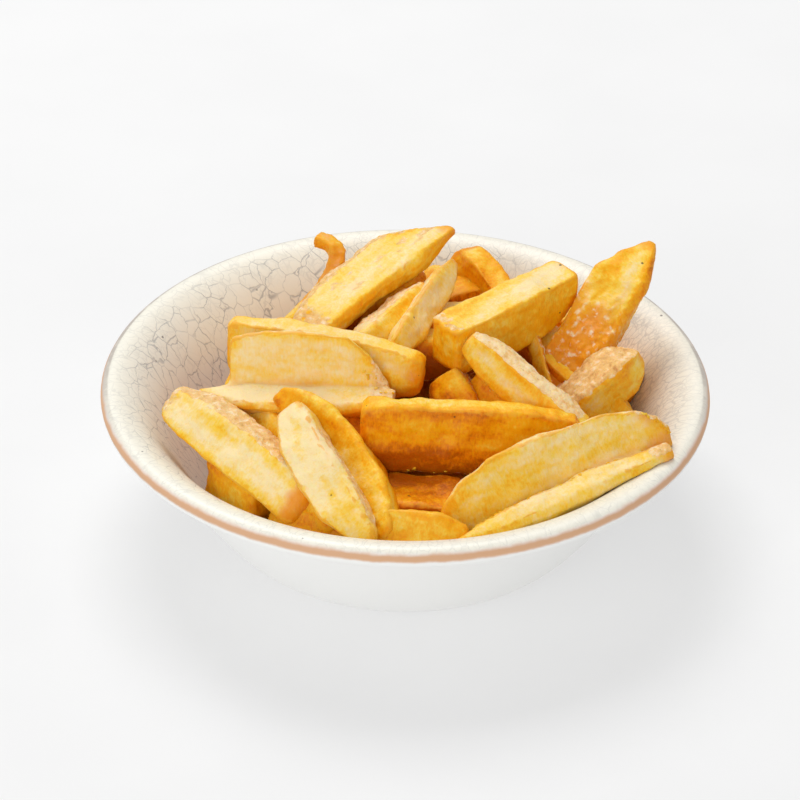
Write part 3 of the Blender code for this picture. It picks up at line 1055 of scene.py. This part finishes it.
# Fries on the far side and lower in the bowl: cut, tail, tip, width and depth
LOWER_FRIES = (
    (Cut.STICK, (-24, 22, 50), (4, 42, 58), 15, 12),
    (Cut.WEDGE, (-20, 34, 45), (20, 56, 43), 17, 14),
    (Cut.STICK, (26, 50, 40), (60, 30, 44), 14, 14),
    (Cut.WEDGE, (-50, 22, 38), (-22, 48, 38), 17, 14),
    (Cut.SLAB, (-14, 18, 50), (34, 30, 50), 14, 15),
    (Cut.SLAB, (-28, 6, 50), (26, 12, 50), 15, 14),
    (Cut.WEDGE, (44, 26, 46), (66, -12, 38), 17, 15),
    (Cut.STICK, (-50, -20, 36), (-44, 14, 38), 15, 14),
    (Cut.WEDGE, (-10, 62, 36), (34, 56, 34), 15, 13),
    (Cut.STICK, (48, 44, 34), (68, 12, 36), 15, 13),
    (Cut.SLAB, (46, -34, 30), (62, 4, 30), 15, 15),
    (Cut.WEDGE, (-46, -14, 46), (-26, -44, 42), 16, 14),
    (Cut.WEDGE, (-34, -40, 48), (-18, -64, 36), 15, 14),
    (Cut.WEDGE, (24, -46, 36), (58, -44, 36), 16, 14),
)

# Where crumbs lie: the fry that they stick to, both ends of the run and how many
CRUMB_RUNS = (
    ("right_scoop", (17, -65, 42), (60, -45, 52), 40),
    ("right_scoop", (70, -38, 62), (77, -37, 53), 14),
    ("left_scoop", (-12, -22, 61), (-2, -23, 56), 10),
    ("centre_slab", (-12, -42, 40), (40, -42, 36), 8),
    ("mid_frayed", (20, -14, 58), (36, -32, 48), 8),
)


@dataclass
class FriesHeap:
    """The fries, each a piece of its own, over a small packed core."""

    node: str = "fries_heap"
    slot: str = "fried_potato"
    stations: tuple = (0.0, 0.03, 0.12, 0.25, 0.4, 0.6, 0.75, 0.88, 0.97, 1.0)
    end_stretch: float = 0.3        # share of the length over which an end draws in
    end_blunting: float = 0.84
    edge_round: float = 0.6
    sharp: float = 35.0             # degrees past which an edge is rounded
    voxel: float = 0.62
    lower_voxel: float = 1.1
    noises: tuple = (("lumps", 13.0), ("dimples", 4.5), ("blisters", 1.7))     # sizes of their lumps
    dimples: float = 0.6            # height of the dimples all over a fry
    pimples: float = 0.25           # height of the smallest bumps all over it
    edge_bend: tuple = (0.05, 0.20)     # bends where an edge starts to brown and is full
    fold_bend: tuple = (0.04, 0.14)     # inward bends where the painted crease shade starts and is full
    edge_spread: int = 34           # rounds of averaging that carry the edges' browning inwards
    fold_spread: int = 4
    end_reach: float = 0.16         # share of the length that browns at each end
    pattern_shift: float = 37.0     # how far apart two fries' patterns may start
    glaze_gap: float = 0.25         # the fries stay this far off the glaze
    glaze_steps: int = 24
    lit_side: tuple = (-0.35, 0.25, 0.9)    # painted light: the side that faces up and towards the key lamp is painted paler
    lit_facing: tuple = (0.2, 0.95)
    lit_share: float = 0.45
    dome_top: float = 68.0          # the heap's outside over the bowl's axis
    dome_fall: float = 0.0055       # how fast it falls away from there
    dome_shade: tuple = (4.0, 24.0)     # depths below it where the fries start and stop darkening
    core_top: float = 39.0
    core_inset: float = 5.0
    core_edge: float = 0.7          # share of the core's height where its side ends
    core_shoulder: float = 0.66
    core_tip: float = 3.0
    core_steps: int = 8
    core_rings: int = 6
    core_segments: int = 48
    core_voxel: float = 2.0
    core_lumps: tuple = (9.0, 5.0)  # their size and height
    crumb_radius: float = 0.6
    crumb_shape: tuple = (1.4, 0.8, 0.6)
    crumb_lumps: tuple = (0.9, 0.5)
    crumb_size: tuple = (0.35, 0.95)    # share of the model crumb's size
    crumb_scatter: float = 0.9
    seed: int = 12
    crust: FriedCrust = field(default_factory=FriedCrust)

    def build(self) -> list[bpy.types.Object]:
        """Make the fries and their core.

        Returns:
            The pieces.
        """
        material = self.crust.material()
        textures = {name: self.clouds(name, size) for name, size in self.noises}
        pieces = [self.fry(spec, self.voxel, material, textures) for spec in TOP_FRIES]
        draw = random.Random(self.seed)
        for number, (cut, tail, tip, width, depth) in enumerate(LOWER_FRIES):
            spec = lone(f"lower_{number:02d}", cut, tail, tip, width, depth, tone=draw.uniform(0.6, 1.0),
                        skins=(Skin((0.0, -1.0), 0.5),))
            pieces.append(self.fry(spec, self.lower_voxel, material, textures))
        pieces.append(self.crumbs({piece.name: piece for piece in pieces}, material))
        pieces.append(self.core(material))
        for piece in pieces:
            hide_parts(self.node)
            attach(piece, BODY)
            log.info("%s: %d faces", piece.name, len(piece.data.polygons))
        return pieces

    @staticmethod
    def clouds(name: str, size: float) -> bpy.types.Texture:
        """A noise that roughens surfaces.

        Args:
            name: the texture's name.
            size: of its lumps, in millimetres.

        Returns:
            The texture.
        """
        texture = bpy.data.textures.new(name, "CLOUDS")
        texture.noise_scale = size * MM
        texture.noise_depth = 2
        return texture

    def girth(self, t: float, tail_share: float, tip_share: float) -> float:
        """How full a limb's section is, with both ends drawn in on a quarter wave.

        Args:
            t: share of the length.
            tail_share: what is left at the tail.
            tip_share: what is left at the tip.

        Returns:
            Share of the full section.
        """
        share = self.end_blunting if t in (0.0, 1.0) else 1.0
        if t < self.end_stretch:
            share *= tail_share + (1 - tail_share) * math.sin(0.5 * math.pi * t / self.end_stretch)
        if t > 1 - self.end_stretch:
            share *= tip_share + (1 - tip_share) * math.sin(0.5 * math.pi * (1 - t) / self.end_stretch)
        return share

    def limb(self, shape: Limb) -> bpy.types.Object:
        """Draw out one limb in its own axes: section in X and Y, length along Z.

        Args:
            shape: its sizes.

        Returns:
            A closed object that still has its placement as its matrix.
        """
        bpy.ops.object.select_all(action="DESELECT")
        bpy.ops.mesh.primitive_circle_add(vertices=len(shape.cut.value), radius=0.5 * shape.width * MM,
                                          fill_type="NGON")
        obj = newest("limb")
        bpy.ops.object.mode_set(mode="EDIT")
        self.set_outline(obj.data, shape)
        bpy.ops.mesh.select_all(action="SELECT")
        pin = Vector((-shape.pin[0] * shape.width / 2, shape.pin[1] * shape.depth / 2, 0.0))
        wide = [self.girth(t, *shape.narrow) for t in self.stations]
        deep = [self.girth(t, *shape.thin) for t in self.stations]
        self.fit_ring(pin, wide[0], deep[0])
        for ring, (near, far) in enumerate(zip(self.stations, self.stations[1:])):
            bend = 4 * far * (1 - far) - 4 * near * (1 - near)
            step = Vector((-shape.sway * bend, shape.bow * bend, (far - near) * shape.length))
            bpy.ops.mesh.extrude_region_move(TRANSFORM_OT_translate={"value": step * MM})
            pin += step
            self.fit_ring(pin, wide[ring + 1] / wide[ring], deep[ring + 1] / deep[ring])
        bpy.ops.mesh.select_all(action="SELECT")
        bpy.ops.mesh.normals_make_consistent(inside=False)
        self.round_edges(obj.data)
        bpy.ops.object.mode_set(mode="OBJECT")
        place = shape.placement()
        place.translation *= MM
        obj.matrix_world = place
        return obj

    @staticmethod
    def set_outline(mesh: bpy.types.Mesh, shape: Limb) -> None:
        """Move the corners of the start disc to the section's outline.

        Args:
            mesh: the disc, in edit mode.
            shape: the limb.
        """
        bpy.ops.mesh.select_mode(type="VERT")
        for number, (right, up) in enumerate(shape.cut.value):
            bpy.ops.mesh.select_all(action="DESELECT")
            work = bmesh.from_edit_mesh(mesh)
            work.verts.ensure_lookup_table()
            corner = work.verts[number]
            corner.select = True
            work.select_flush_mode()
            goal = Vector((-right * shape.width / 2, up * shape.depth / 2, 0.0)) * MM
            bpy.ops.transform.translate(value=goal - corner.co)

    @staticmethod
    def fit_ring(pin: Vector, wide: float, deep: float) -> None:
        """Scale the selected ring about the point that the ends draw in to."""
        bpy.ops.transform.resize(value=(wide, deep, 1.0), center_override=tuple(pin * MM))

    def round_edges(self, mesh: bpy.types.Mesh) -> None:
        """Take the sharpness off the long edges and the ends' rims.

        Args:
            mesh: the limb, in edit mode.
        """
        work = bmesh.from_edit_mesh(mesh)
        bpy.ops.mesh.select_mode(type="EDGE")
        bpy.ops.mesh.select_all(action="DESELECT")
        for edge in work.edges:
            edge.select = edge.is_manifold and edge.calc_face_angle() > math.radians(self.sharp)
        work.select_flush_mode()
        bpy.ops.mesh.bevel(offset=self.edge_round * MM, segments=2, affect="EDGES", clamp_overlap=True)

    def fry(self, spec: Fry, voxel: float, material: bpy.types.Material,
            textures: dict) -> bpy.types.Object:
        """Make one fry.

        Args:
            spec: what it is.
            voxel: the fineness of its mesh, in millimetres.
            material: its crust.
            textures: the noises that roughen it.

        Returns:
            The finished piece.
        """
        limbs = [self.limb(shape) for shape in spec.limbs]
        fry = limbs[0]
        if len(limbs) > 1:
            only(fry)
            for other in limbs[1:]:
                other.select_set(True)
            bpy.ops.object.join()
        fry.name = spec.name
        fry.data.name = spec.name
        apply_modifier(fry, "REMESH", mode="VOXEL", voxel_size=voxel * MM, adaptivity=0.0)
        apply_modifier(fry, "SMOOTH", factor=0.5, iterations=3)
        self.mark_skin(fry, spec)
        roughen(fry, textures["lumps"], spec.lumps)
        roughen(fry, textures["dimples"], self.dimples)
        roughen(fry, textures["blisters"], 2.0 * spec.blister, "blistered")
        roughen(fry, textures["blisters"], self.pimples)
        self.mark_surface(fry, spec)
        settle(fry)
        self.rest_in_bowl(fry.data)
        dress(fry, material)
        return fry

    @staticmethod
    def covered(points: np.ndarray, normals: np.ndarray, length: float, stretches: tuple) -> np.ndarray:
        """How surely each point of a fry lies on one of some stretches of its surface.

        Args:
            points: in the fry's own axes, in millimetres.
            normals: in the same axes.
            length: the fry's, in millimetres.
            stretches: where skin or bubbles are.

        Returns:
            Values from 0 to 1.
        """
        share = points[:, 2] / length
        result = np.zeros(len(points))
        for skin in stretches:
            facing = Vector((-skin.facing[0], skin.facing[1])).normalized()
            turn = normals[:, 0] * facing.x + normals[:, 1] * facing.y
            side = smoothstep(turn, 1.0 - 1.5 * skin.reach, 1.15 - skin.reach)
            window = (smoothstep(share, skin.start - 0.08, skin.start + 0.04)
                      * (1.0 - smoothstep(share, skin.stop - 0.04, skin.stop + skin.fade)))
            result = np.maximum(result, side * window)
        return result

    def mark_skin(self, fry: bpy.types.Object, spec: Fry) -> None:
        """Give the fry a vertex group where its skin and bubbles are, for the blisters.

        Args:
            fry: the fry, before it is roughened.
            spec: what it is.
        """
        points, normals, _ = mesh_arrays(fry.data)
        share = self.covered(points / MM, normals, spec.limbs[0].length, spec.skins + spec.boils)
        group = fry.vertex_groups.new(name="blistered")
        for index in np.nonzero(share > 0.02)[0]:
            group.add([int(index)], float(share[index]), "REPLACE")

    def mark_surface(self, fry: bpy.types.Object, spec: Fry) -> None:
        """Store what the crust reads: own coordinates, edges, skin, ends and tone.

        Args:
            fry: the roughened fry, still with its placement as its matrix.
            spec: what it is.
        """
        points, normals, pairs = mesh_arrays(fry.data)
        points = points / MM
        length = spec.limbs[0].length
        share = points[:, 2] / length
        bend = self.convexity(points, normals, pairs)
        rim = smoothstep(bend, *self.edge_bend)
        turn = fry.matrix_world.to_3x3()
        lamp_side = np.array(turn.inverted() @ Vector(self.lit_side).normalized())
        spots = points @ np.array(turn).T + np.array(fry.matrix_world.translation) / MM
        own = points + self.pattern_shift * np.array([hash_share(spec.name, axis) for axis in range(3)])
        self.store(fry.data, own, {
            "edge": rim,
            "near_edge": diffuse(rim, pairs, self.edge_spread),
            # painted shade in the inward folds
            "fold_shade": diffuse(smoothstep(-bend, *self.fold_bend), pairs, self.fold_spread),
            "skin": self.covered(points, normals, length, spec.skins),
            "boil": self.covered(points, normals, length, spec.boils),
            # painted shade: darker the deeper a point lies below the heap's outside
            "sunk": self.sunk(spots),
            # painted light: paler where the surface faces up towards the key lamp
            "dry": self.lit_share * smoothstep(normals @ lamp_side, *self.lit_facing),
            "bark": spec.bark,
            "end": np.maximum(spec.ends[0] * (1.0 - smoothstep(share, 0.0, self.end_reach)),
                              spec.ends[1] * smoothstep(share, 1.0 - self.end_reach, 1.0)),
            "tone": spec.tone,
        })

    @staticmethod
    def store(mesh: bpy.types.Mesh, place: np.ndarray, marks: dict) -> None:
        """Store the coordinates and the marks that the crust reads.

        Args:
            mesh: the piece's mesh.
            place: the piece's own coordinates, in millimetres.
            marks: values by name, one for each vertex or one for all. What isn't given is 0.
        """
        set_attribute(mesh, "fry_space", "FLOAT_VECTOR", place)
        for name in MARKS:
            set_attribute(mesh, name, "FLOAT", np.broadcast_to(marks.get(name, 0.0), len(place)))

    def sunk(self, points: np.ndarray) -> np.ndarray:
        """How deep below the heap's outside each point lies, 0 to 1: there the fries get painted shade."""
        dome = self.dome_top - self.dome_fall * (points[:, 0] ** 2 + points[:, 1] ** 2)
        return smoothstep(dome - points[:, 2], *self.dome_shade)

    @staticmethod
    def convexity(points: np.ndarray, normals: np.ndarray, pairs: np.ndarray) -> np.ndarray:
        """How sharply the surface bends outwards at each point, for each millimetre.

        Args:
            points: in millimetres.
            normals: one for each point.
            pairs: the edges.

        Returns:
            About a quarter over the radius of a rounded edge, and 0 on a flat face.
        """
        first, second = pairs[:, 0], pairs[:, 1]
        gap = points[first] - points[second]
        square = np.maximum((gap * gap).sum(1), 1e-6)
        count = np.bincount(pairs.ravel(), minlength=len(points))
        bend = (np.bincount(first, (normals[first] * gap).sum(1) / square, len(points))
                - np.bincount(second, (normals[second] * gap).sum(1) / square, len(points))) / count
        return diffuse(bend, pairs, 2)

    def rest_in_bowl(self, mesh: bpy.types.Mesh) -> None:
        """Draw in whatever would go through the glaze, so that the piece rests against it.

        Args:
            mesh: the piece's mesh, in place.
        """
        points, _, _ = mesh_arrays(mesh)
        points = points / MM
        inset = WALL_THICKNESS + self.glaze_gap
        line = np.array(inner_line(inset, self.glaze_steps)) + np.array([0.0, self.glaze_gap])
        radius = np.hypot(points[:, 0], points[:, 1])
        room = np.interp(points[:, 2], line[:, 1], line[:, 0])
        room[points[:, 2] > BOWL_HEIGHT + self.glaze_gap] = RIM_RADIUS
        share = np.minimum(1.0, room / np.maximum(radius, 1e-6))
        points[:, :2] *= share[:, None]
        points[:, 2] = np.maximum(points[:, 2], line[0, 1])
        mesh.vertices.foreach_set("co", (points * MM).ravel())
        mesh.update()

    def crumbs(self, fries: dict, material: bpy.types.Material) -> bpy.types.Object:
        """Crumbs of crust along folds and broken ends: one crumb copied, turned and sized.

        Args:
            fries: the finished fries by name.
            material: the crust.

        Returns:
            The piece that holds them all.
        """
        bpy.ops.object.select_all(action="DESELECT")
        bpy.ops.mesh.primitive_ico_sphere_add(subdivisions=2, radius=self.crumb_radius * MM)
        crumb = newest("crumbs")
        bpy.ops.object.mode_set(mode="EDIT")
        bpy.ops.mesh.select_all(action="SELECT")
        bpy.ops.transform.resize(value=self.crumb_shape, center_override=(0.0, 0.0, 0.0))
        bpy.ops.object.mode_set(mode="OBJECT")
        draw = random.Random(self.seed)
        copies = []
        for name, start, end, count in CRUMB_RUNS:
            for _ in range(count):
                aim = Vector(start).lerp(Vector(end), draw.random())
                aim += self.crumb_scatter * Vector([draw.uniform(-1.0, 1.0) for _ in range(3)])
                _, place, normal, _ = fries[name].closest_point_on_mesh(aim * MM)
                copy = bpy.data.objects.new("crumb", crumb.data.copy())
                bpy.context.collection.objects.link(copy)
                spin = Matrix.Rotation(draw.uniform(0.0, math.tau), 4, "Z")
                size = Matrix.Scale(draw.uniform(*self.crumb_size), 4)
                stand = normal.to_track_quat("Z", "X").to_matrix().to_4x4()
                copy.matrix_world = Matrix.Translation(place) @ stand @ spin @ size
                copies.append(copy)
        bpy.data.objects.remove(crumb)
        only(copies[0])
        for copy in copies:
            copy.select_set(True)
        bpy.ops.object.join()
        crumbs = newest("crumbs")
        settle(crumbs)
        size, height = self.crumb_lumps
        roughen(crumbs, self.clouds("crumble", size), height)
        # a little of the painted lamp-side paleness all over
        self.mark_evenly(crumbs.data, edge=0.7, dry=0.1, tone=0.75)
        self.rest_in_bowl(crumbs.data)
        dress(crumbs, material)
        return crumbs

    def mark_evenly(self, mesh: bpy.types.Mesh, **marks: float) -> None:
        """Store the same marks at every point of a mesh."""
        self.store(mesh, mesh_arrays(mesh)[0] / MM, marks)

    def core(self, material: bpy.types.Material) -> bpy.types.Object:
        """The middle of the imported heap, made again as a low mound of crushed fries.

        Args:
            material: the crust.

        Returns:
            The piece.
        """
        top = self.core_top
        wall = wall_line(WALL_THICKNESS + self.core_inset, self.core_steps)
        side = [point for point in wall if point[1] < self.core_edge * top]
        shoulder = (self.core_shoulder * side[-1][0], top)
        crown = bezier(side[-1], shoulder, (self.core_tip, top), self.core_rings)
        core = turned("heap_core", side + crown[1:], self.core_segments)
        apply_modifier(core, "REMESH", mode="VOXEL", voxel_size=self.core_voxel * MM)
        size, height = self.core_lumps
        roughen(core, self.clouds("crush", size), height)
        # painted shade: the hidden core takes the full heap shade and a dark tone
        self.mark_evenly(core.data, edge=0.2, near_edge=0.3, sunk=1.0, end=0.9, tone=1.4)
        self.rest_in_bowl(core.data)
        dress(core, material)
        return core


def hash_share(name: str, axis: int) -> float:
    """A share from 0 to 1 that a name always gives again."""
    return random.Random(f"{name}{axis}").random()


# ---------------------------------------------------------------- studio


@dataclass
class Studio:
    """Pale floor, a soft lamp high on the far side, a weaker one on the near side, and the camera."""

    distance: float = 888.2
    elevation: float = 32.28        # degrees, as the roll is
    roll: float = 0.778
    lens: float = 135.1
    sensor: float = 36.0
    shift: tuple = (-0.00694, -0.02998)
    floor_size: float = 6.0         # metres
    sky: float = 0.54
    key_power: float = 10.5
    key_place: tuple = (-220.0, 640.0, 1240.0)
    fill_power: float = 4.3
    fill_place: tuple = (-420.0, -1000.0, 560.0)
    lamp_size: float = 800.0
    lamp_aim: float = 40.0          # height over the base that both lamps look at
    floor: PaleFloor = field(default_factory=PaleFloor)

    def build(self) -> None:
        """Set the floor, the lights and the camera."""
        bpy.ops.object.select_all(action="DESELECT")
        bpy.ops.mesh.primitive_plane_add(size=self.floor_size)
        board = newest("floor")
        board.data.materials.append(self.floor.material())
        world = bpy.data.worlds.new("studio")
        world.use_nodes = True
        sky = world.node_tree.nodes["Background"]
        sky.inputs["Color"].default_value = (1.0, 1.0, 1.0, 1.0)
        sky.inputs["Strength"].default_value = self.sky
        bpy.context.scene.world = world
        self.lamp("key", self.key_place, self.key_power)
        self.lamp("fill", self.fill_place, self.fill_power)
        self.camera()
        bpy.context.scene.view_settings.view_transform = "Standard"

    def lamp(self, name: str, place: tuple, power: float) -> None:
        """Add a square soft lamp that looks at the bowl.

        Args:
            name: the lamp's name.
            place: where it hangs, in millimetres.
            power: in watts.
        """
        spot = Vector(place) * MM
        bpy.ops.object.light_add(type="AREA", location=spot)
        lamp = bpy.context.active_object
        lamp.name = name
        lamp.data.size = self.lamp_size * MM
        lamp.data.energy = power
        aim = Vector((0.0, 0.0, self.lamp_aim)) * MM - spot
        lamp.rotation_euler = aim.to_track_quat("-Z", "Y").to_euler()

    def camera(self) -> None:
        """Add the camera, which looks at the middle of the bowl's mouth."""
        mouth = Vector((0.0, 0.0, BOWL_HEIGHT)) * MM
        tilt = math.radians(self.elevation)
        spot = mouth + Vector((0.0, -math.cos(tilt), math.sin(tilt))) * self.distance * MM
        bpy.ops.object.camera_add(location=spot)
        camera = bpy.context.active_object
        aim = (mouth - spot).to_track_quat("-Z", "Y").to_matrix().to_4x4()
        camera.matrix_world = (Matrix.Translation(spot) @ aim
                               @ Matrix.Rotation(math.radians(self.roll), 4, "Z"))
        camera.data.lens = self.lens
        camera.data.sensor_width = self.sensor
        camera.data.shift_x, camera.data.shift_y = self.shift
        bpy.context.scene.camera = camera


def main() -> None:
    """Build the pieces in order."""
    logging.basicConfig(level=logging.INFO, format="%(message)s")
    Studio().build()
    Bowl().build()
    FriesHeap().build()


if __name__ == "__main__":
    main()
